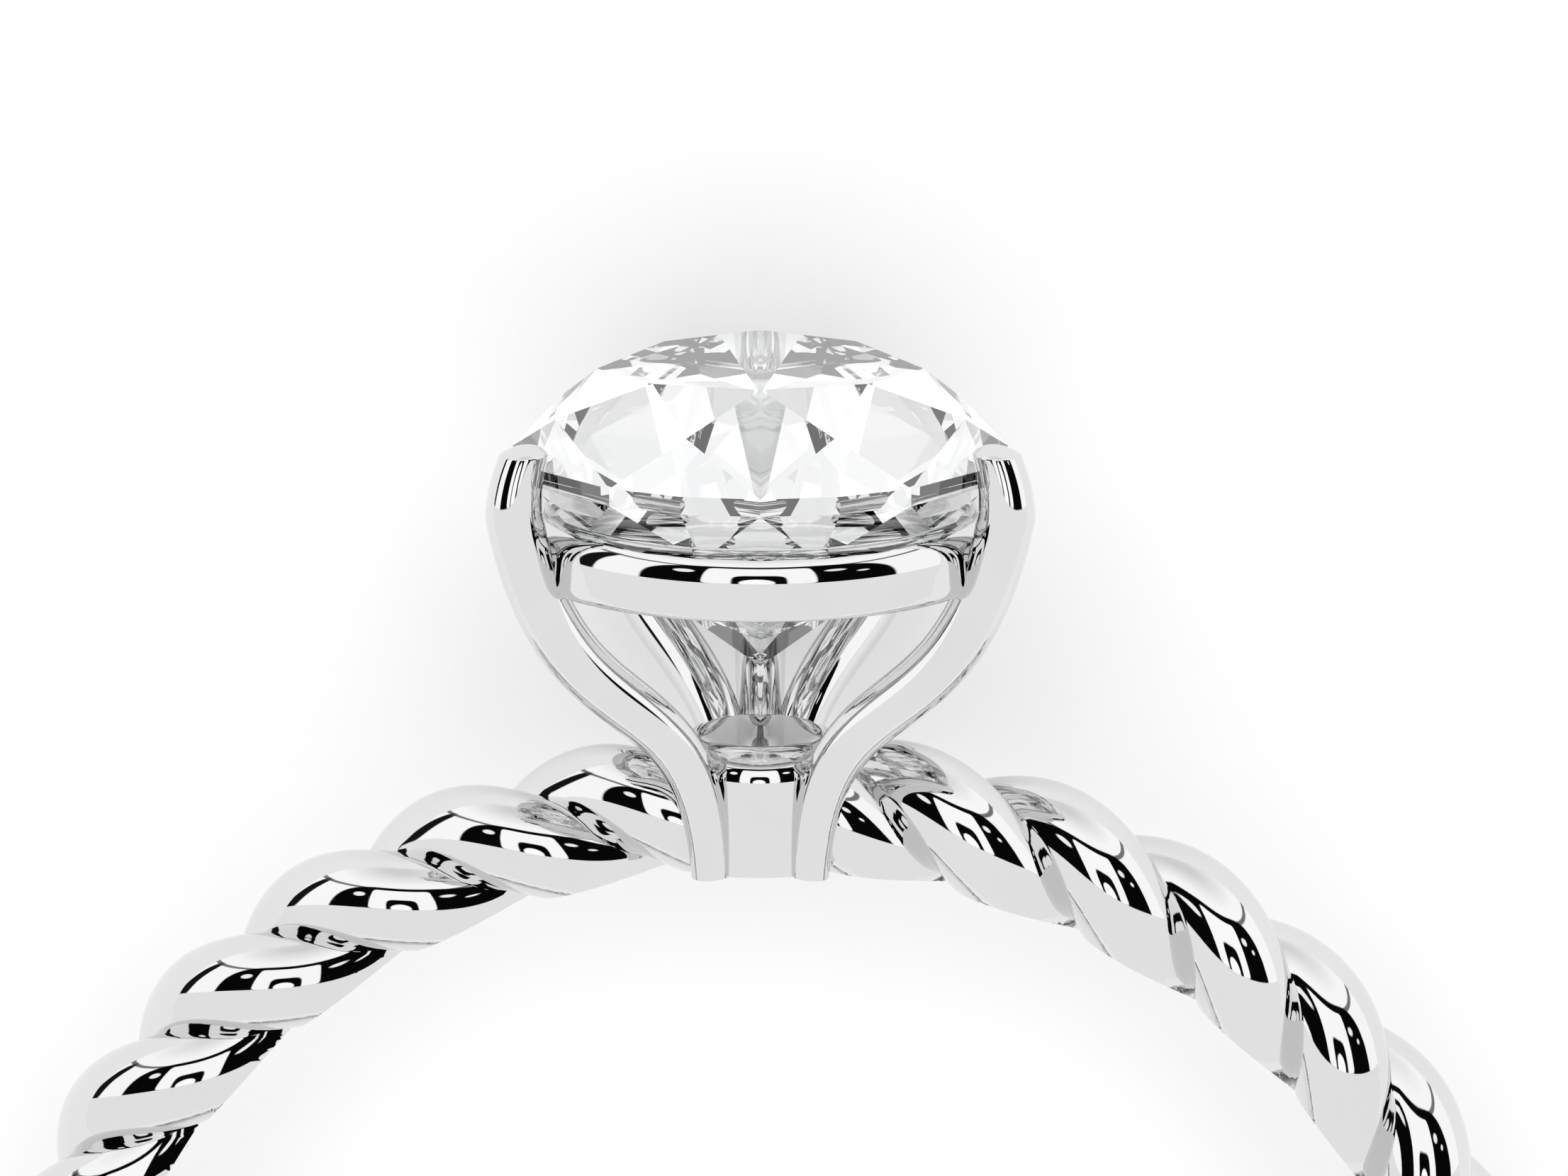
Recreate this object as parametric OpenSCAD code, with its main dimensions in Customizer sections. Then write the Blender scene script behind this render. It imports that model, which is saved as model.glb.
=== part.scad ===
// A solitaire ring: a pear cut stone in a five prong head, on a shank twisted from two strands.
// Each piece is drawn with the finger's axis along Y and the head up, then laid down as the ring rests.

/* [Twisted shank] */
// Inside diameter, the finger size
bore_d = 17; // [16:0.1:18.5]
// Diameter of each of the two strands
strand_d = 1.17; // [1.05:0.01:1.25]
// Width over both strands
rope_w = 1.89; // [1.75:0.01:1.95]
// Depth that the bore is polished into the strands
bore_shave = 0.4; // [0.3:0.01:0.45]
// Turns that each strand makes on its way round
twists = 16; // [12:1:18]
// Turn of the strands at the middle of the head, in degrees
twist_start = 0.9; // [-5:0.1:5]

/* [Base cup] */
// Diameter of the cup that joins the head to the shank
cup_d = 2.12; // [2:0.01:2.3]
// Height of the cup's top above the bore
cup_h = 1.5; // [1.45:0.01:1.7]
// Rounding round the cup's top
cup_round = 0.4; // [0.3:0.01:0.5]

/* [Pear stone] */
// Width of the stone
stone_w = 5.75; // [5.5:0.05:6.2]
// Length of the stone
stone_l = 7.7; // [7.2:0.05:8.2]
// Distance from the round end to the widest line
stone_round = 2.75; // [2.5:0.05:3]
// Distance of the round end in front of the shank's middle
stone_fwd = 3.1; // [2.9:0.05:3.3]
// Thickness of the girdle
girdle_t = 0.2; // [0.12:0.01:0.25]
// Height of the crown above the girdle
crown_h = 0.95; // [0.8:0.01:1.05]
// Depth of the pavilion below the girdle
pavilion_h = 2.47; // [2.3:0.01:2.7]
// Distance from the round end back to the culet
culet_back = 2.8; // [2.5:0.05:3.2]
// Gap between the culet and the cup's top
culet_gap = 0.87; // [0.7:0.01:1.1]

/* [Prongs] */
// Width of a prong
prong_w = 0.68; // [0.6:0.01:0.72]
// Thickness of a prong, from the stone outwards
prong_t = 0.68; // [0.6:0.01:0.72]
// Rounding of a prong's edges
prong_round = 0.26; // [0.15:0.01:0.28]
// Distance of a prong's middle outside the girdle
prong_out = 0.3; // [0.27:0.01:0.32]
// Height of the front prongs' tips above the girdle
prong_over = 0.31; // [0.25:0.01:0.4]
// Distance that each tip leans in over the stone
prong_lean = 0.18; // [0.1:0.01:0.22]
// Distance below the girdle at which a prong starts to lean in
prong_turn = 0.3; // [0.2:0.01:0.4]

/* [Gallery rail] */
// Height of the rail
rail_h = 0.79; // [0.7:0.01:0.9]
// Thickness of the rail
rail_t = 0.6; // [0.5:0.01:0.65]
// Height of the rounding along the rail's top edges
rail_round = 0.38; // [0.2:0.01:0.45]
// Width of that rounding
rail_shoulder = 0.28; // [0.15:0.01:0.3]
// Rounding along the rail's bottom edges
rail_soft = 0.12; // [0.06:0.01:0.2]
// Distance of the rail's outer face inside the girdle
rail_in = 0.05; // [0:0.01:0.15]
// Distance of the rail's top below the girdle
rail_drop = 0.46; // [0.4:0.01:0.6]

/* [Fit] */
// Clearance between the metal and the stone
seat_gap = 0.03; // [0.02:0.005:0.05]

/* [Hidden] */
metal = "#e2e2e4";
diamond = "#f4f8ff";

// Shank
bore_r = bore_d / 2;
rope_r = bore_r + rope_w / 2 - bore_shave;
strand_r = strand_d / 2;
strand_off = (rope_w - strand_d) / 2;
twist_rate = twists / rope_r;
lead = strand_off * twist_rate;
lead_cos = 1 / sqrt(1 + lead * lead);
strand_shear = twist_rate * strand_r * lead * lead_cos * 180 / PI;
strand_sides = 10;
rows_per_twist = 11;

// Heights above the finger's axis
foot_z = bore_r - 0.3;
cup_top = bore_r + cup_h;
culet_z = cup_top + culet_gap;
girdle_low = culet_z + pavilion_h;
girdle_top = girdle_low + girdle_t;
table_z = girdle_top + crown_h;

// Prongs: how high each climbs the cup's wall, and how much it thins to its foot and to its turn, as shares
prong_rise = 0.633;
foot_taper = 0.37;
turn_taper = 0.05;
prong_rows = 10;

// Rest on the floor, on the strands' far edge opposite the head and on the back prong
point_y = stone_l - stone_fwd;
rest_strand = rope_r * cos(90 / twists);
rest_point = point_y + prong_out + prong_t * (1 - turn_taper) / 2;
rest_run = [rest_point - strand_off, girdle_low - prong_turn + rest_strand];
rest_tilt = atan2(rest_run[0], rest_run[1]) - asin(strand_r / norm(rest_run));
rest_h = strand_off * cos(rest_tilt) + rest_strand * sin(rest_tilt) + strand_r;

// Stone
wide_y = stone_round - stone_fwd;
tail_l = stone_l - stone_round;
tail_curve = 1.8;
culet = [0, culet_back - stone_fwd];
star_share = 0.55;
lower_share = 0.72;

// One row for each main facet from the round end to the point: its place on the girdle, as a share of the
// half outline, then its corner of the table, across as a share of the half width, and along from the
// widest line as a share of the round end, where negative, or of the tail
cut = [
    [0, 0, -0.5],
    [0.2, 0.425, -0.38],
    [0.5, 0.655, -0.065],
    [0.69, 0.395, 0.285],
    [1, 0, 0.425],
];

// One row for each prong: its foot's turn round the cup from the front, in degrees, its place on the
// girdle, the pull of its curve, outwards as a share of its reach and up as a share of its height, and
// its tip's height above the girdle as a share of the front prongs'
prongs = [
    [33, 0.345, 0.745, 0.37, 1],
    [-33, -0.345, 0.745, 0.37, 1],
    [165, 0.823, 1.06, 0.345, 0.75],
    [-165, -0.823, 1.06, 0.345, 0.75],
    [180, 1, 0.86, 0.28, 0.5],
];

// One row for each step of a tip up to its rim and over its low dome: how far it has climbed, and its
// size beside the prong's
tip_steps = [
    [0.2, 0.89],
    [0.45, 0.87],
    [0.7, 0.84],
    [0.885, 0.82],
    [0.93, 0.65],
    [0.97, 0.4],
    [1, 0.12],
];
rail_rows = 36;

function turned(p, a) = [p[0] * cos(a) - p[1] * sin(a), p[0] * sin(a) + p[1] * cos(a)];
function unit(v) = v / norm(v);
function crossed(a, b) = a[0] * b[1] - a[1] * b[0];
function meet(p, d, q, e) = p + d * crossed(q - p, e) / crossed(d, e);

// Triangles between rows of n points each, closed into a loop or capped at both ends
function skin(rows, n, loop) = concat(
    [for (i = [0 : rows - (loop ? 1 : 2)], j = [0 : n - 1])
        let (a = i * n, b = (i + 1) % rows * n, k = (j + 1) % n)
            each [[a + j, a + k, b + k], [a + j, b + k, b + j]]],
    loop ? [] : [[for (j = [n - 1 : -1 : 0]) j], [for (j = [0 : n - 1]) (rows - 1) * n + j]]);

module swept(rows, loop) {
    polyhedron(points = [for (r = rows) each r], faces = skin(len(rows), len(rows[0]), loop), convexity = 8);
}

// Rounded rectangle with three points to each corner
function rounded(w, t, r) = [for (q = [0 : 3], a = [0, 45, 90])
    let (sx = q == 0 || q == 3 ? 1 : -1, sy = q < 2 ? 1 : -1)
        [sx * (w / 2 - r) + r * cos(90 * q + a), sy * (t / 2 - r) + r * sin(90 * q + a)]];

// Outline of one strand in a plane through the finger's axis
function strand_point(a) =
    turned([strand_off + strand_r * cos(a), strand_r * lead_cos * sin(a)], strand_shear * sin(a));

// Angle at which a strand meets its neighbour, found by halving
function groove_angle(low, high, n) = let (mid = (low + high) / 2)
    n == 0 ? mid : strand_point(mid)[0] > 0 ? groove_angle(mid, high, n - 1) : groove_angle(low, mid, n - 1);
groove = groove_angle(60, 150, 20);
rope_outline = [for (s = [0, 180], i = [0 : strand_sides - 1])
    turned(strand_point(groove * (2 * i / strand_sides - 1)), s)];

// Outline of the stone, from its round end at 0 to its point at 1 on the right and at -1 on the left
function pear(place) = let (s = 2 * abs(place) - 1, side = place < 0 ? -1 : 1)
    s < 0 ? [side * stone_w / 2 * sin(180 * abs(place)), wide_y - stone_round * cos(180 * abs(place))]
    : [side * stone_w / 2 * (1 - pow(s, tail_curve)), wide_y + tail_l * s];

// Direction of the stone's outline, and the direction out of it
function along(place) = let (s = 2 * abs(place) - 1, side = place < 0 ? -1 : 1)
    unit(s < 0 ? [stone_w / 2 * cos(180 * place), side * stone_round * sin(180 * abs(place))]
    : [-stone_w / 2 * tail_curve * pow(s, tail_curve - 1), side * tail_l]);
function outwards(place) = abs(place) == 1 ? [0, 1] : [along(place)[1], -along(place)[0]];

// Corner where facets i and i + 1 meet at height z, when each runs from the girdle to its own end
function facet_tip(i, ends, rim, end_z, z) = let (
    s = (z - rim) / (end_z - rim),
    g = [for (k = [i, i + 1]) pear(cut[k][0])],
    d = [for (k = [i, i + 1]) abs(cut[k][0]) == 1 ? [1, 0] : along(cut[k][0])],
    m = meet(g[0] + (ends[i] - g[0]) * s, d[0], g[1] + (ends[i + 1] - g[1]) * s, d[1])) [m[0], m[1], z];

// Corners of the right half of the stone
table_corners = [for (c = cut) [c[1] * stone_w / 2, wide_y + c[2] * (c[2] < 0 ? stone_round : tail_l)]];
stone_corners = concat(
    [for (t = table_corners) [t[0], t[1], table_z]],
    [for (i = [0 : 3]) facet_tip(i, table_corners, girdle_top, table_z, girdle_top + star_share * crown_h)],
    [for (i = [0 : 0.5 : 4], z = [girdle_low, girdle_top])
        let (g = pear((cut[floor(i)][0] + cut[ceil(i)][0]) / 2)) [g[0], g[1], z]],
    [for (i = [0 : 3]) facet_tip(i, [for (c = cut) culet], girdle_low, culet_z,
        girdle_low - (1 - lower_share) * pavilion_h)],
    [[culet[0], culet[1], culet_z]]);

module cut_stone() {
    corners = concat(stone_corners, [for (c = stone_corners) [-c[0], c[1], c[2]]]);
    hull() polyhedron(points = corners, faces = [for (i = [0 : len(corners) - 3]) [i, i + 1, i + 2]]);
}

module twisted_shank() {
    rows = twists * rows_per_twist;
    swept([for (i = [0 : rows - 1]) let (t = 360 * i / rows)
        [for (p = rope_outline) let (q = turned(p, twist_start - twists * t))
            [(rope_r + q[0]) * sin(t), q[1], (rope_r + q[0]) * cos(t)]]], true);
}

module base_cup() {
    flat = cup_d / 2 - cup_round;
    rotate_extrude($fn = 48) polygon(concat(
        [[0, foot_z], [cup_d / 2, foot_z]],
        [for (a = [0 : 18 : 90]) [flat + cup_round * cos(a), cup_top + cup_round * (sin(a) - 1)]],
        [[0, cup_top]]));
}

// Rises up the cup's wall, sweeps out under the stone and turns up past the girdle
module prong(turn, place, pull_out, pull_up, over) {
    foot = cup_d / 2 * [sin(turn), -cos(turn)];
    reach = pear(place) + prong_out * outwards(place) - foot;
    run = norm(reach);
    rise = girdle_low - prong_turn - foot_z;
    climb = prong_turn + girdle_t + over * prong_over;
    pulls = [[0, 0], [0, prong_rise * rise], [pull_out * run, pull_up * rise], [run, rise]];
    curve = [for (i = [0 : prong_rows]) let (s = i / prong_rows, r = 1 - s, w = [r * r * r, 3 * r * r * s,
        3 * r * s * s, s * s * s]) [w * pulls, 1 - foot_taper * r * r * r - turn_taper * s * s * s]];
    spine = concat(curve, [for (t = tip_steps)
        [[run - t[0] * t[0] * prong_lean, rise + t[0] * climb], t[1]]]);
    out = reach / run;
    swept([for (i = [0 : len(spine) - 1]) let (
        d = i > prong_rows ? [0, 1] : unit(spine[i + 1][0] - spine[max(i - 1, 0)][0]),
        c = spine[i][0])
            [for (p = spine[i][1] * rounded(prong_t, prong_w, prong_round)) let (
                q = c + p[0] * [d[1], -d[0]],
                r = foot + q[0] * out + p[1] * [out[1], -out[0]]) [r[0], r[1], foot_z + q[1]]]], false);
}

// Follows the stone's outline under its girdle
module gallery_rail() {
    point_half = atan2(stone_w / 2 * tail_curve, tail_l);
    section = [for (q = [0 : 3])
        let (top = q < 2, side = q == 0 || q == 3 ? 1 : -1,
            wide = top ? rail_shoulder : rail_soft, high = top ? rail_round : rail_soft)
                for (a = [90 * q : top ? 22.5 : 45 : 90 * q + 90])
                    [side * (rail_t / 2 - wide) + wide * cos(a) - rail_in - rail_t / 2,
                        (top ? -high : high - rail_h) + high * sin(a)]];
    swept([for (i = [0 : rail_rows - 1]) let (
        place = 2 * i / rail_rows - 1,
        n = outwards(place) / (i == 0 ? sin(point_half) : 1))
            [for (p = section) let (g = pear(place) + p[0] * n)
                [g[0], g[1], girdle_low - rail_drop + p[1]]]], true);
}

// Turns the ring from upright to how it rests, centred over the floor
module laid() {
    top = table_corners[4];
    far = (rope_r + strand_off) * cos(rest_tilt) + strand_r;
    near = table_z * cos(rest_tilt) + top[1] * sin(rest_tilt);
    translate([0, (far - near) / 2, rest_h]) rotate([rest_tilt - 90, 0, 0]) children();
}

module mounting() {
    color(metal) laid() difference() {
        union() {
            twisted_shank();
            base_cup();
            for (p = prongs) prong(p[0], p[1], p[2], p[3], p[4]);
            gallery_rail();
        }
        rotate([90, 0, 0]) cylinder(r = bore_r, h = 3 * rope_w, center = true, $fn = 180);
        translate([0, wide_y, girdle_low]) scale([1 + 2 * seat_gap / stone_w, 1 + 2 * seat_gap / stone_l,
            1 + 2 * seat_gap / (pavilion_h + crown_h)]) translate([0, -wide_y, -girdle_low]) cut_stone();
    }
}

module pear_stone() {
    color(diamond) laid() cut_stone();
}

mounting();
pear_stone();
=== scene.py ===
import bpy
import math
from mathutils import Matrix, Vector


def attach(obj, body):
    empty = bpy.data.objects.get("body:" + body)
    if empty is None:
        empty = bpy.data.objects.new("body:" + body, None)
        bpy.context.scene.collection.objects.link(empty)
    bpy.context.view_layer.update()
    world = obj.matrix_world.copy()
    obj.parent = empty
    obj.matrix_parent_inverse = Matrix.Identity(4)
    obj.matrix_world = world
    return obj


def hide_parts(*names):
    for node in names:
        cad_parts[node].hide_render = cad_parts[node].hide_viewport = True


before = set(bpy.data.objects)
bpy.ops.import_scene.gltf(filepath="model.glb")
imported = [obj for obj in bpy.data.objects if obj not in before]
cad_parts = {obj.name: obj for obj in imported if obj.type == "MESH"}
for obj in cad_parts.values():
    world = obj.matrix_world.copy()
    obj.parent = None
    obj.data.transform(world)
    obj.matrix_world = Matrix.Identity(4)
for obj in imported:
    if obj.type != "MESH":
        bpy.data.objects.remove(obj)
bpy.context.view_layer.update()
print("frame loaded")

# The ring is modelled upright in millimetres, with the finger's axis along Y and the head up,
# and each finished piece is then laid down on the floor as the CAD part lies.
mmPerMetre = 1000
quarterTurn = math.radians(90)
rest = {"tilt": math.radians(10.9567), "alongY": -2.37032, "height": 2.64932}
layDown = (Matrix.Scale(1 / mmPerMetre, 4)
           @ Matrix.Translation((0, rest["alongY"], rest["height"]))
           @ Matrix.Rotation(rest["tilt"] - quarterTurn, 4, "X"))


def onlySelect(piece):
    bpy.ops.object.select_all(action="DESELECT")
    piece.select_set(True)
    bpy.context.view_layer.objects.active = piece


def startPiece(name):
    piece = bpy.context.object
    piece.name = name
    piece.data.name = name
    onlySelect(piece)
    return piece


def choose(piece, parts, wanted):  # edit mode is left and entered again, so that the choice holds
    bpy.ops.object.mode_set(mode="OBJECT")
    mesh = piece.data
    for group in (mesh.vertices, mesh.edges, mesh.polygons):
        group.foreach_set("select", [False] * len(group))
    for part in getattr(mesh, parts):
        part.select = wanted(part)
    bpy.ops.object.mode_set(mode="EDIT")


def applyModifier(piece, kind, **settings):
    onlySelect(piece)
    modifier = piece.modifiers.new(kind.title(), kind)
    for key, value in settings.items():
        setattr(modifier, key, value)
    bpy.ops.object.modifier_apply(modifier=modifier.name)


def finishPiece(piece, smoothAngle):
    onlySelect(piece)
    piece.data.transform(layDown @ piece.matrix_world)
    piece.matrix_world = Matrix.Identity(4)
    bpy.ops.object.mode_set(mode="EDIT")
    bpy.ops.mesh.select_all(action="SELECT")
    bpy.ops.mesh.normals_make_consistent(inside=False)
    bpy.ops.object.mode_set(mode="OBJECT")
    bpy.ops.object.shade_smooth_by_angle(angle=math.radians(smoothAngle))
    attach(piece, "root")


# Finger bore: cut through the shank and through the head's foot
bore = {"radius": 8.5, "depth": 8, "sides": 720}


def boreOut(piece):
    bpy.ops.mesh.primitive_cylinder_add(vertices=bore["sides"], radius=bore["radius"], depth=bore["depth"],
                                        rotation=(quarterTurn, 0, 0))
    cutter = bpy.context.object
    applyModifier(piece, "BOOLEAN", object=cutter, operation="DIFFERENCE", solver="EXACT")
    bpy.data.objects.remove(cutter)


# Shank: two round wires twisted together, bent into a hoop and bored. Groove is how far round its section,
# in degrees from its outermost point, a wire meets the other one.
shank = {"wireRadius": 0.585, "wireOffset": 0.36, "hoopRadius": 9.045, "turns": 16, "startTurn": 0.9,
         "groove": 95.5622, "sides": 22, "rowsPerTurn": 44, "weld": 0.0005, "smoothAngle": 40}


def makeShank():
    hoop = shank["hoopRadius"]
    lead = shank["wireOffset"] * shank["turns"] / hoop
    leadCos = 1 / math.sqrt(1 + lead * lead)
    shear = shank["turns"] / hoop * shank["wireRadius"] * lead * leadCos
    bpy.ops.mesh.primitive_circle_add(vertices=2 * shank["sides"], radius=shank["wireRadius"])
    piece = startPiece("twisted_shank")
    for i, point in enumerate(piece.data.vertices):  # the circle takes the section of two wires side by side
        a = math.radians(shank["groove"] * (2 * (i % shank["sides"]) / shank["sides"] - 1))
        wire = Vector((shank["wireOffset"] + shank["wireRadius"] * math.cos(a),
                       shank["wireRadius"] * leadCos * math.sin(a), 0))
        half = math.pi if i >= shank["sides"] else 0
        turn = shear * math.sin(a) + half + math.radians(shank["startTurn"])
        point.co = Matrix.Rotation(turn, 3, "Z") @ wire
    rows = shank["turns"] * shank["rowsPerTurn"]
    applyModifier(piece, "SCREW", angle=-2 * math.pi * shank["turns"], screw_offset=2 * math.pi * hoop,
                  steps=rows, render_steps=rows, use_normal_calculate=True)
    for point in piece.data.vertices:  # the straight rope is bent round the finger
        x, y, z = point.co
        a = z / hoop
        point.co = ((hoop + x) * math.sin(a), y, (hoop + x) * math.cos(a))
    bpy.ops.object.mode_set(mode="EDIT")
    bpy.ops.mesh.select_all(action="SELECT")
    bpy.ops.mesh.remove_doubles(threshold=shank["weld"])
    bpy.ops.mesh.normals_make_consistent(inside=False)
    bpy.ops.object.mode_set(mode="OBJECT")
    boreOut(piece)
    finishPiece(piece, shank["smoothAngle"])
    print("shank twisted, bent and bored:", len(piece.data.polygons), "faces")
    return piece


# Stone: its outline seen from above, with the round end at 0 and the point at 1, negative on the left
stone = {"width": 5.75, "length": 7.7, "roundEnd": 2.75, "forward": 3.1, "tailCurve": 1.8,
         "girdleLow": 13.34, "girdleTop": 13.54}
wideY = stone["roundEnd"] - stone["forward"]
tail = stone["length"] - stone["roundEnd"]
nudge = 0.0005  # how far to either side of a place the outline's direction is taken


def pearOutline(place):
    s, side = 2 * abs(place) - 1, math.copysign(1, place)
    if s < 0:
        a = math.pi * abs(place)
        return Vector((side * stone["width"] / 2 * math.sin(a), wideY - stone["roundEnd"] * math.cos(a)))
    return Vector((side * stone["width"] / 2 * (1 - s ** stone["tailCurve"]), wideY + tail * s))


def pearOutwards(place):
    if abs(place) + nudge > 1:  # both sides end at the point, and it faces straight back
        return Vector((0, 1))
    step = (pearOutline(place + nudge) - pearOutline(place - nudge)).normalized()
    return Vector((step.y, -step.x))


# Prongs: each is drawn flat, as one run of steps from its foot to its tip, and then turned to its place.
# Foot is in degrees round the cup, and place is on the stone's outline. pullOut and pullUp bend the curve,
# and over is the height of the tip beside a front tip's.
prong = {"width": 0.68, "thickness": 0.68, "edgeRound": 0.32, "edgeSteps": 6, "out": 0.3, "turnBelow": 0.3,
         "rise": 0.633, "footTaper": 0.37, "turnTaper": 0.05, "steps": 44, "footZ": 8.2, "smoothAngle": 35}
prongPlaces = {
    "front_right": {"foot": 33, "place": 0.345, "pullOut": 0.745, "pullUp": 0.37, "over": 1},
    "front_left": {"foot": -33, "place": -0.345, "pullOut": 0.745, "pullUp": 0.37, "over": 1},
    "back_right": {"foot": 165, "place": 0.823, "pullOut": 1.06, "pullUp": 0.345, "over": 0.75},
    "back_left": {"foot": -165, "place": -0.823, "pullOut": 1.06, "pullUp": 0.345, "over": 0.75},
    "back_point": {"foot": 180, "place": 1, "pullOut": 0.86, "pullUp": 0.28, "over": 0.5},
}
# Prong tips: cut level, with a tight rim and a low dome. The dome starts where it slopes by domeSlope
# degrees. It is followed to domeEnd degrees up its circle, and a small flat face closes its top.
tip = {"over": 0.31, "lean": 0.18, "rimSize": 0.82, "rimRound": 0.03, "domeSlope": 40, "domeEnd": 88,
       "sideSteps": 12, "rimSteps": 4, "domeSteps": 8}


def tipSteps(climb):  # height above the turn, and the size beside the prong's
    half = tip["rimSize"] * prong["thickness"] / 2
    middle = half - tip["rimRound"]
    start = math.radians(90 - tip["domeSlope"])
    end = math.radians(tip["domeEnd"])
    domeRadius = middle / math.cos(start) + tip["rimRound"]
    rim = climb - tip["rimRound"] * math.sin(start) - domeRadius * (1 - math.sin(start))
    sizeBelow = 1 - prong["turnTaper"]
    steps = [(rim * i / tip["sideSteps"], sizeBelow + (tip["rimSize"] - sizeBelow) * i / tip["sideSteps"])
             for i in range(1, tip["sideSteps"] + 1)]
    for i in range(1, tip["rimSteps"] + 1):
        a = start * i / tip["rimSteps"]
        steps.append((rim + tip["rimRound"] * math.sin(a),
                      tip["rimSize"] * (middle + tip["rimRound"] * math.cos(a)) / half))
    for i in range(1, tip["domeSteps"] + 1):
        a = start + (end - start) * i / tip["domeSteps"]
        height = climb - domeRadius * (1 - math.sin(a))
        steps.append((height, tip["rimSize"] * domeRadius * math.cos(a) / half))
    return steps


def prongSpine(spot):
    footAngle = math.radians(spot["foot"])
    foot = cup["radius"] * Vector((math.sin(footAngle), -math.cos(footAngle)))
    reach = pearOutline(spot["place"]) + prong["out"] * pearOutwards(spot["place"]) - foot
    run = reach.length
    rise = stone["girdleLow"] - prong["turnBelow"] - prong["footZ"]
    climb = prong["turnBelow"] + stone["girdleTop"] - stone["girdleLow"] + spot["over"] * tip["over"]
    pulls = [Vector((0, 0)), Vector((0, prong["rise"] * rise)),
             Vector((spot["pullOut"] * run, spot["pullUp"] * rise)), Vector((run, rise))]
    spine = []
    for i in range(prong["steps"] + 1):
        s = i / prong["steps"]
        r = 1 - s
        point = r ** 3 * pulls[0] + 3 * r * r * s * pulls[1] + 3 * r * s * s * pulls[2] + s ** 3 * pulls[3]
        spine.append((point, 1 - prong["footTaper"] * r ** 3 - prong["turnTaper"] * s ** 3))
    for up, size in tipSteps(climb):
        spine.append((Vector((run - (up / climb) ** 2 * tip["lean"], rise + up)), size))
    return foot, reach, spine


def growProng(name, spot):
    foot, reach, spine = prongSpine(spot)
    bpy.ops.mesh.primitive_plane_add(size=1)
    piece = startPiece("prong_" + name)
    bpy.ops.object.mode_set(mode="EDIT")
    bpy.ops.transform.resize(value=(prong["thickness"], prong["width"], 1))
    bpy.ops.mesh.bevel(affect="VERTICES", offset=prong["edgeRound"], offset_type="OFFSET",
                       segments=prong["edgeSteps"])
    bpy.ops.mesh.select_all(action="SELECT")
    bpy.ops.transform.resize(value=(spine[0][1],) * 3)
    heading = Vector((0, 1))
    for i in range(1, len(spine)):
        (before, sizeBefore), (here, size) = spine[i - 1], spine[i]
        ahead = spine[i + 1][0] - before if i <= prong["steps"] else Vector((0, 1))  # a tip is cut level
        turn = heading.angle_signed(ahead)
        heading = ahead
        step = here - before
        bpy.ops.mesh.extrude_region_move(TRANSFORM_OT_translate={"value": (step.x, 0, step.y)})
        centre = (here.x, 0, here.y)
        bpy.ops.transform.rotate(value=-turn, orient_axis="Y", orient_type="GLOBAL", center_override=centre)
        bpy.ops.transform.resize(value=(size / sizeBefore,) * 3, center_override=centre)
    bpy.ops.object.mode_set(mode="OBJECT")
    piece.matrix_world = (Matrix.Translation((foot.x, foot.y, prong["footZ"]))
                          @ Matrix.Rotation(math.atan2(reach.y, reach.x), 4, "Z"))
    bpy.ops.object.transform_apply(location=True, rotation=True, scale=True)
    return piece


def makeProngs():
    pieces = []
    for name, spot in prongPlaces.items():
        piece = growProng(name, spot)
        boreOut(piece)
        finishPiece(piece, prong["smoothAngle"])
        pieces.append(piece)
    print("prongs grown:", len(pieces))
    return pieces


# Base cup: a round post between the shank and the prongs, its rim turned to a quarter round
cup = {"radius": 1.06, "top": 10, "round": 0.4, "sides": 128, "steps": 16, "smoothAngle": 35}


def makeCup():
    low = prong["footZ"]
    wall = cup["top"] - cup["round"]
    bpy.ops.mesh.primitive_cylinder_add(vertices=cup["sides"], radius=cup["radius"], depth=wall - low,
                                        location=(0, 0, (wall + low) / 2))
    piece = startPiece("base_cup")
    bpy.ops.object.transform_apply(location=True, rotation=True, scale=True)
    choose(piece, "polygons", lambda face: face.normal.z > 0.9)  # the flat top
    radius, height = cup["radius"], wall
    for i in range(1, cup["steps"] + 1):
        a = math.radians(90 * i / cup["steps"])
        newRadius = cup["radius"] - cup["round"] * (1 - math.cos(a))
        newHeight = wall + cup["round"] * math.sin(a)
        size = newRadius / radius
        bpy.ops.mesh.extrude_region_move(TRANSFORM_OT_translate={"value": (0, 0, newHeight - height)})
        bpy.ops.transform.resize(value=(size, size, 1), center_override=(0, 0, newHeight))
        radius, height = newRadius, newHeight
    bpy.ops.object.mode_set(mode="OBJECT")
    boreOut(piece)
    finishPiece(piece, cup["smoothAngle"])
    print("cup turned")
    return piece


# Gallery rail: a band under the girdle with a full round top, drawn once and run along the stone's outline
rail = {"height": 0.79, "thickness": 0.6, "inset": 0.05, "drop": 0.46, "topWide": 0.28, "topHigh": 0.38,
        "topSteps": 10, "bottomRound": 0.12, "bottomSteps": 4, "rows": 240, "weld": 0.002, "smoothAngle": 35}


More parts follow.
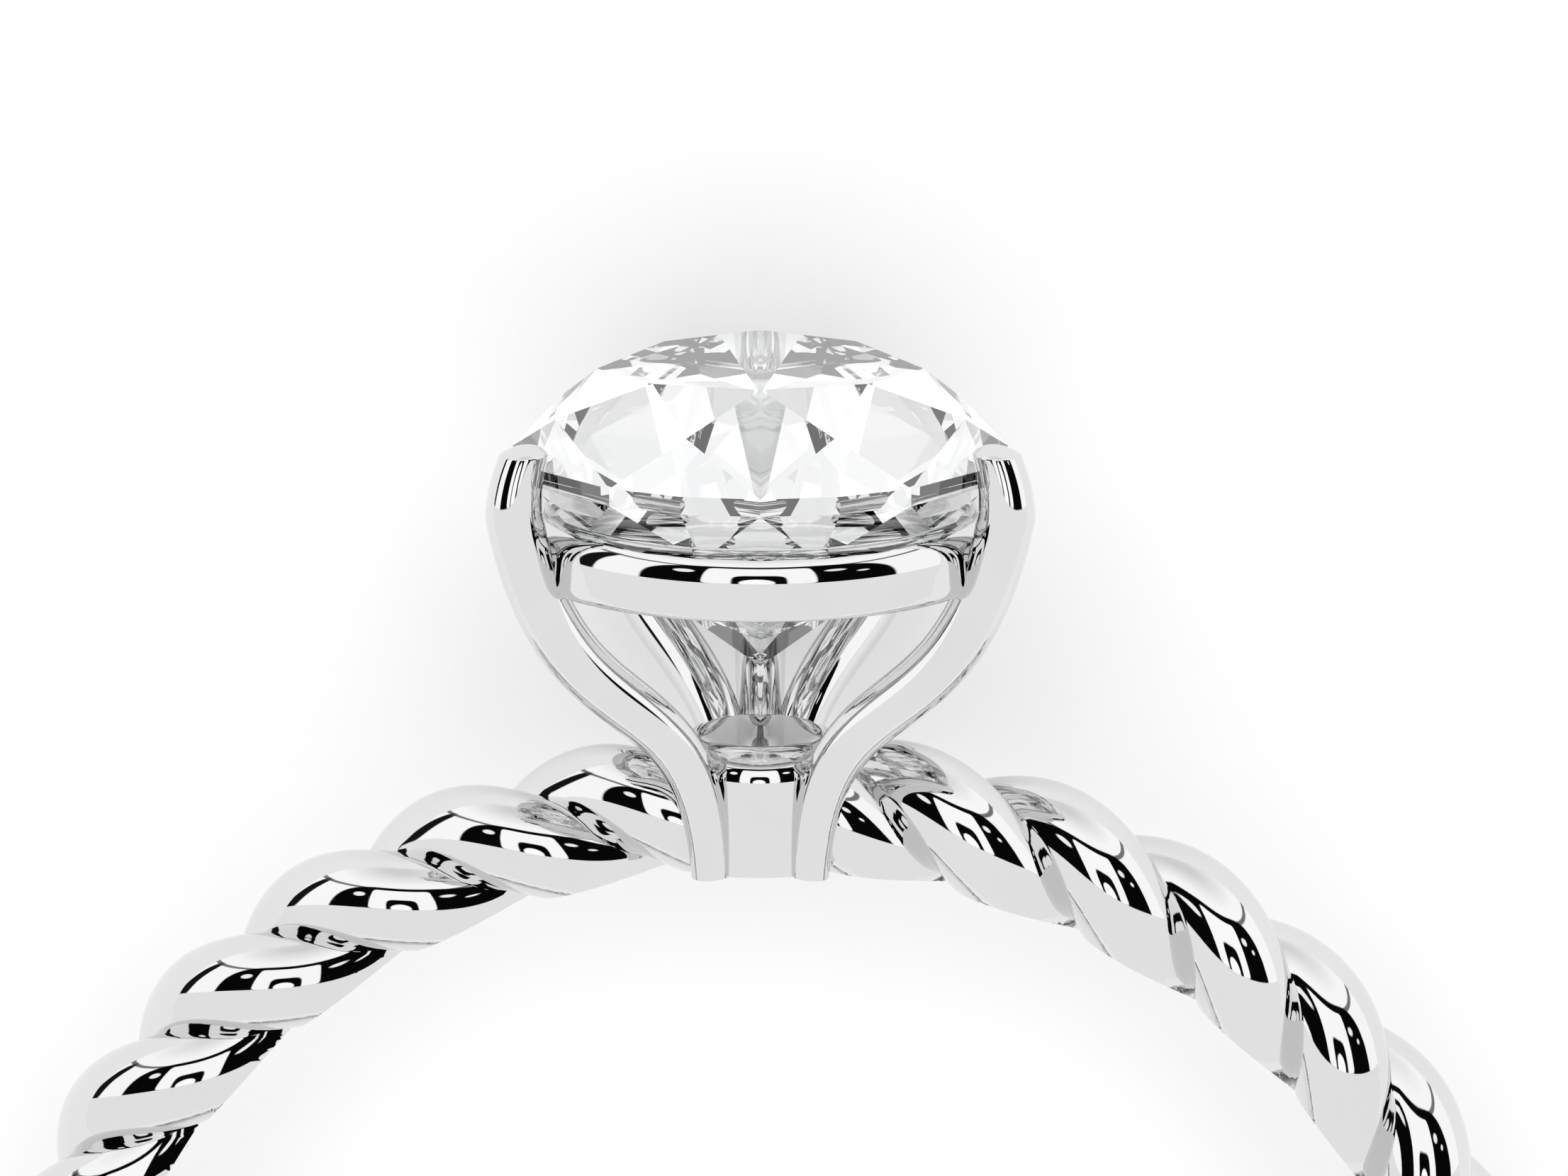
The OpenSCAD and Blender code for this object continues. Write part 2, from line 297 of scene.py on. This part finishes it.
def makeRail():
    top = stone["girdleLow"] - rail["drop"]
    stretch = rail["topHigh"] / rail["topWide"]  # the top is bevelled circular and then made this much higher
    deep = rail["height"] / stretch
    pointHalf = math.atan2(stone["width"] / 2 * stone["tailCurve"], tail)
    mitre = 1 / math.sin(pointHalf)  # the ends are wider by this, and meet in a mitre at the stone's point
    point = pearOutline(1)
    bpy.ops.mesh.primitive_plane_add(size=1, rotation=(0, quarterTurn, 0))
    piece = startPiece("gallery_rail")
    bpy.ops.object.transform_apply(location=True, rotation=True, scale=True)
    bpy.ops.object.mode_set(mode="EDIT")
    bpy.ops.transform.resize(value=(1, rail["thickness"], deep))
    bpy.ops.transform.translate(value=(0, -rail["inset"] - rail["thickness"] / 2, -deep / 2))
    corners = ((lambda corner: corner.co.z > -deep / 10, rail["topWide"], rail["topSteps"]),
               (lambda corner: corner.co.z < -deep * 9 / 10, rail["bottomRound"], rail["bottomSteps"]))
    for wanted, size, segments in corners:  # the upper two, and then the lower two
        choose(piece, "vertices", wanted)
        bpy.ops.mesh.bevel(affect="VERTICES", offset=size, offset_type="OFFSET", segments=segments)
    bpy.ops.mesh.select_all(action="SELECT")
    bpy.ops.mesh.delete(type="ONLY_FACE")
    bpy.ops.mesh.select_all(action="SELECT")
    bpy.ops.transform.resize(value=(1, mitre, stretch), center_override=(0, 0, 0))
    bpy.ops.transform.translate(value=(point.x, point.y, top))
    here, facing = point, Vector((0, 1))
    for i in range(1, rail["rows"] + 1):
        place = -1 + 2 * i / rail["rows"]
        there = pearOutline(place)
        step = there - here
        outwards = pearOutwards(place)
        turn = facing.angle_signed(outwards)
        bpy.ops.mesh.extrude_region_move(TRANSFORM_OT_translate={"value": (step.x, step.y, 0)})
        centre = (there.x, there.y, top)
        if i == 1:
            bpy.ops.transform.resize(value=(1, 1 / mitre, 1), center_override=centre)
        bpy.ops.transform.rotate(value=turn, orient_axis="Z", orient_type="GLOBAL", center_override=centre)
        if i == rail["rows"]:
            bpy.ops.transform.resize(value=(1, mitre, 1), center_override=centre)
        here, facing = there, outwards
    bpy.ops.mesh.select_all(action="SELECT")
    bpy.ops.mesh.remove_doubles(threshold=rail["weld"])
    bpy.ops.object.mode_set(mode="OBJECT")
    finishPiece(piece, rail["smoothAngle"])
    print("rail bent:", len(piece.data.polygons), "faces")
    return piece


metalPieces = [makeShank(), makeCup(), *makeProngs(), makeRail()]
for piece in metalPieces:
    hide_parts("mounting")


# Materials. Sockets whose names repeat go by number: in a Mix node 0 is the factor, 2 and 3 are the plain
# values and 6 and 7 the colours, and a mixed colour comes out at 2.
def linear(hexColour):
    parts = [int(hexColour[i:i + 2], 16) / 255 for i in (1, 3, 5)]
    return tuple(c / 12.92 if c <= 0.04045 else ((c + 0.055) / 1.055) ** 2.4 for c in parts) + (1,)


def addNode(tree, kind, settings=None, inputs=None, links=None):
    node = tree.nodes.new(kind)
    for key, value in (settings or {}).items():
        setattr(node, key, value)
    for key, value in (inputs or {}).items():
        node.inputs[key].default_value = value
    for key, source in (links or {}).items():
        tree.links.new(source, node.inputs[key])
    return node


def newMaterial(name):
    material = bpy.data.materials.new(name)
    material.use_nodes = True
    material.node_tree.nodes.clear()
    return material, material.node_tree


def putOn(piece, material):
    piece.data.materials.clear()
    piece.data.materials.append(material)


# White gold, rhodium plated and mirror polished: neutral and bright, its reflections sharp but for the
# faint unevenness of the buffing. Real buffing lines are under 0.01 mm, so they're drawn coarser here.
whiteGold = {"colour": "#dcdcdc", "wornColour": "#d5d5d5", "roughness": 0.012, "buffedRoughness": 0.045,
             "buffedFrom": 0.35, "buffedTo": 0.75, "buffingMm": 0.12, "buffingDetail": 3,
             "unevenMm": 1.4, "unevenDetail": 2}


def makeWhiteGold():
    material, tree = newMaterial("polished_white_gold")
    place = addNode(tree, "ShaderNodeTexCoord")
    buffing = addNode(tree, "ShaderNodeTexNoise",
                      inputs={"Scale": mmPerMetre / whiteGold["buffingMm"],
                              "Detail": whiteGold["buffingDetail"]},
                      links={"Vector": place.outputs["Object"]})
    uneven = addNode(tree, "ShaderNodeTexNoise",
                     inputs={"Scale": mmPerMetre / whiteGold["unevenMm"],
                             "Detail": whiteGold["unevenDetail"]},
                     links={"Vector": place.outputs["Object"]})
    dull = addNode(tree, "ShaderNodeMapRange",
                   inputs={"From Min": whiteGold["buffedFrom"], "From Max": whiteGold["buffedTo"],
                           "To Min": whiteGold["roughness"], "To Max": whiteGold["buffedRoughness"]},
                   links={"Value": buffing.outputs["Fac"]})
    colour = addNode(tree, "ShaderNodeMix", {"data_type": "RGBA"},
                     {6: linear(whiteGold["colour"]), 7: linear(whiteGold["wornColour"])},
                     {0: uneven.outputs["Fac"]})
    metal = addNode(tree, "ShaderNodeBsdfPrincipled", inputs={"Metallic": 1},
                    links={"Base Color": colour.outputs[2], "Roughness": dull.outputs["Result"]})
    addNode(tree, "ShaderNodeOutputMaterial", links={"Surface": metal.outputs["BSDF"]})
    return material


# Diamond: clear, and it bends light so strongly that its facets turn white, grey and black. A breath of
# unevenness from the polishing wheel keeps the facets from being one flawless sheet.
diamond = {"colour": "#ffffff", "tint": "#f4f6f8", "ior": 2.417, "polish": 0.004, "tintMm": 1.6,
           "tintDetail": 1, "polishMm": 0.3, "polishDetail": 2}


def makeDiamond():
    material, tree = newMaterial("cut_diamond")
    place = addNode(tree, "ShaderNodeTexCoord")
    cloud = addNode(tree, "ShaderNodeTexNoise",
                    inputs={"Scale": mmPerMetre / diamond["tintMm"], "Detail": diamond["tintDetail"]},
                    links={"Vector": place.outputs["Object"]})
    wheel = addNode(tree, "ShaderNodeTexNoise",
                    inputs={"Scale": mmPerMetre / diamond["polishMm"], "Detail": diamond["polishDetail"]},
                    links={"Vector": place.outputs["Object"]})
    colour = addNode(tree, "ShaderNodeMix", {"data_type": "RGBA"},
                     {6: linear(diamond["colour"]), 7: linear(diamond["tint"])}, {0: cloud.outputs["Fac"]})
    haze = addNode(tree, "ShaderNodeMapRange", inputs={"To Min": 0, "To Max": diamond["polish"]},
                   links={"Value": wheel.outputs["Fac"]})
    gem = addNode(tree, "ShaderNodeBsdfPrincipled",
                  inputs={"IOR": diamond["ior"], "Transmission Weight": 1},
                  links={"Base Color": colour.outputs[2], "Roughness": haze.outputs["Result"]})
    addNode(tree, "ShaderNodeOutputMaterial", links={"Surface": gem.outputs["BSDF"]})
    return material


goldMaterial = makeWhiteGold()
for piece in metalPieces:
    putOn(piece, goldMaterial)
putOn(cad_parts["pear_stone"], makeDiamond())
print("materials on")

# Floor: matt white card, wide enough that no view reaches its edge
floorCard = {"size": 4, "colour": "#f7f7f7", "roughness": 0.9}
bpy.ops.mesh.primitive_plane_add(size=floorCard["size"])
floor = startPiece("floor")
floorMaterial, tree = newMaterial("white_card")
card = addNode(tree, "ShaderNodeBsdfPrincipled",
               inputs={"Base Color": linear(floorCard["colour"]), "Roughness": floorCard["roughness"]})
addNode(tree, "ShaderNodeOutputMaterial", links={"Surface": card.outputs["BSDF"]})
putOn(floor, floorMaterial)

# Studio: a white tent, dimmer overhead, with a thin dark edge round its ceiling, a dark wing at the left
# and a pale grey table below. A black flag stands before the tent and has a bright window cut in it, with
# a black cap and its lamp low in the middle, and three small lamps shine beside the window.
# Centre and half are a card's place and half its size, in degrees to the side and up as the upright ring
# sees them, 0 being level and towards the camera. Square is 2 for an oval card, and more for one with
# straighter edges. Soft is the width of its blurred edge. A later card hangs before an earlier one.
tent = {"light": 1.33, "topLight": 0.89, "topFrom": 54, "topTo": 84}
cards = {
    "ceilingEdge": {"centre": (4, 43), "half": (230, 1.7), "square": 6, "soft": 0.8, "light": 0.05},
    "leftWing": {"centre": (-87, 20), "half": (5.5, 24), "square": 5, "soft": 1.2, "light": 0.01},
    "flag": {"centre": (4, 0), "half": (60, 47), "square": 4, "soft": 1.2, "light": 0.003},
    "window": {"centre": (-0.5, 20), "half": (26, 21), "square": 14, "soft": 0.7, "light": 1.35},
    "cap": {"centre": (-0.5, 0), "half": (12.5, 21), "square": 5, "soft": 1, "light": 0.003},
    "lampInCap": {"centre": (-1.5, 2), "half": (8, 9), "square": 2, "soft": 1, "light": 1.42},
    "leftLamp": {"centre": (-37, 28), "half": (5.2, 4.4), "square": 2, "soft": 1.2, "light": 1.22},
    "rightLamp": {"centre": (36.5, 29), "half": (5.2, 3), "square": 2, "soft": 1.2, "light": 1.22},
    "farLamp": {"centre": (49, 21), "half": (3, 1.8), "square": 2, "soft": 0.9, "light": 1.22},
    "table": {"centre": (0, -51), "half": (200, 50), "square": 60, "soft": 0.5, "light": 1.07},
}


def hangCard(tree, angles, behind, card):
    (side, height), (halfSide, halfHeight) = card["centre"], card["half"]
    place = addNode(tree, "ShaderNodeMapping",
                    inputs={"Location": (-side / halfSide, -height / halfHeight, 0),
                            "Scale": (1 / halfSide, 1 / halfHeight, 0)},
                    links={"Vector": angles})
    parts = addNode(tree, "ShaderNodeSeparateXYZ", links={"Vector": place.outputs["Vector"]})
    powers = []
    for axis in ("X", "Y"):
        size = addNode(tree, "ShaderNodeMath", {"operation": "ABSOLUTE"}, links={0: parts.outputs[axis]})
        powers.append(addNode(tree, "ShaderNodeMath", {"operation": "POWER"}, {1: card["square"]},
                              {0: size.outputs[0]}))
    away = addNode(tree, "ShaderNodeMath", {"operation": "ADD"},
                   links={0: powers[0].outputs[0], 1: powers[1].outputs[0]})  # 1 at the card's edge
    soft = card["square"] * card["soft"] / 2 / min(halfSide, halfHeight)  # half the blur, in that measure
    edge = addNode(tree, "ShaderNodeMapRange", inputs={"From Min": 1 + soft, "From Max": 1 - soft},
                   links={"Value": away.outputs[0]})
    return addNode(tree, "ShaderNodeMix", {"data_type": "FLOAT"}, {3: card["light"]},
                   {0: edge.outputs["Result"], 2: behind})


def makeStudio():
    world = bpy.data.worlds.new("studio")
    bpy.context.scene.world = world
    world.use_nodes = True
    tree = world.node_tree
    tree.nodes.clear()
    place = addNode(tree, "ShaderNodeTexCoord")
    upright = addNode(tree, "ShaderNodeMapping", inputs={"Rotation": (quarterTurn - rest["tilt"], 0, 0)},
                      links={"Vector": place.outputs["Generated"]})
    parts = addNode(tree, "ShaderNodeSeparateXYZ", links={"Vector": upright.outputs["Vector"]})
    towards = addNode(tree, "ShaderNodeMath", {"operation": "MULTIPLY"}, {1: -1}, {0: parts.outputs["Y"]})
    side = addNode(tree, "ShaderNodeMath", {"operation": "ARCTAN2"},
                   links={0: parts.outputs["X"], 1: towards.outputs[0]})
    height = addNode(tree, "ShaderNodeMath", {"operation": "ARCSINE"}, links={0: parts.outputs["Z"]})
    turns = addNode(tree, "ShaderNodeCombineXYZ", links={"X": side.outputs[0], "Y": height.outputs[0]})
    angles = addNode(tree, "ShaderNodeVectorMath", {"operation": "SCALE"}, {"Scale": math.degrees(1)},
                     {0: turns.outputs["Vector"]})
    light = addNode(tree, "ShaderNodeMapRange",
                    inputs={"From Min": math.radians(tent["topFrom"]),
                            "From Max": math.radians(tent["topTo"]),
                            "To Min": tent["light"], "To Max": tent["topLight"]},
                    links={"Value": height.outputs[0]})
    for card in cards.values():
        light = hangCard(tree, angles.outputs["Vector"], light.outputs[0], card)
    sky = addNode(tree, "ShaderNodeBackground", links={"Color": light.outputs[0]})
    addNode(tree, "ShaderNodeOutputWorld", links={"Surface": sky.outputs["Background"]})


makeStudio()
overhead = {"height": 1, "size": 2, "energy": 7.4}  # lifts the floor to white, and isn't seen in the ring
bpy.ops.object.light_add(type="AREA", location=(0, 0, overhead["height"]))
softbox = bpy.context.object
softbox.name = "overhead_softbox"
softbox.data.size = overhead["size"]
softbox.data.energy = overhead["energy"]
softbox.visible_glossy = False
softbox.visible_transmission = False
print("studio hung")

# Camera: the photo's own place and lens, laid down with the ring. The pitch is in radians, and nearest
# in metres.
camera = {"ringMm": (0, -55.7, 25.917), "pitchDown": 0.2492, "focalPx": 6883.16, "photoWidth": 2212,
          "shiftPx": 33.5, "sensor": 36, "nearest": 0.002}
bpy.ops.object.camera_add()
eye = bpy.context.object
eye.name = "photo_camera"
upright = (Matrix.Translation(camera["ringMm"])
           @ Matrix.Rotation(quarterTurn - camera["pitchDown"], 4, "X"))
laid = layDown @ upright
eye.matrix_world = Matrix.Translation(laid.translation) @ laid.to_quaternion().to_matrix().to_4x4()
eye.data.sensor_width = camera["sensor"]
eye.data.lens = camera["focalPx"] / camera["photoWidth"] * camera["sensor"]
eye.data.shift_x = camera["shiftPx"] / camera["photoWidth"]
eye.data.clip_start = camera["nearest"]
bpy.context.scene.camera = eye
bpy.context.scene.view_settings.view_transform = "Standard"

bounces = {"all": 12, "glossy": 7, "transmission": 12}  # light turns often in a diamond before it leaves
paths = bpy.context.scene.cycles
paths.max_bounces = bounces["all"]
paths.glossy_bounces = bounces["glossy"]
paths.transmission_bounces = bounces["transmission"]
print("stage set")
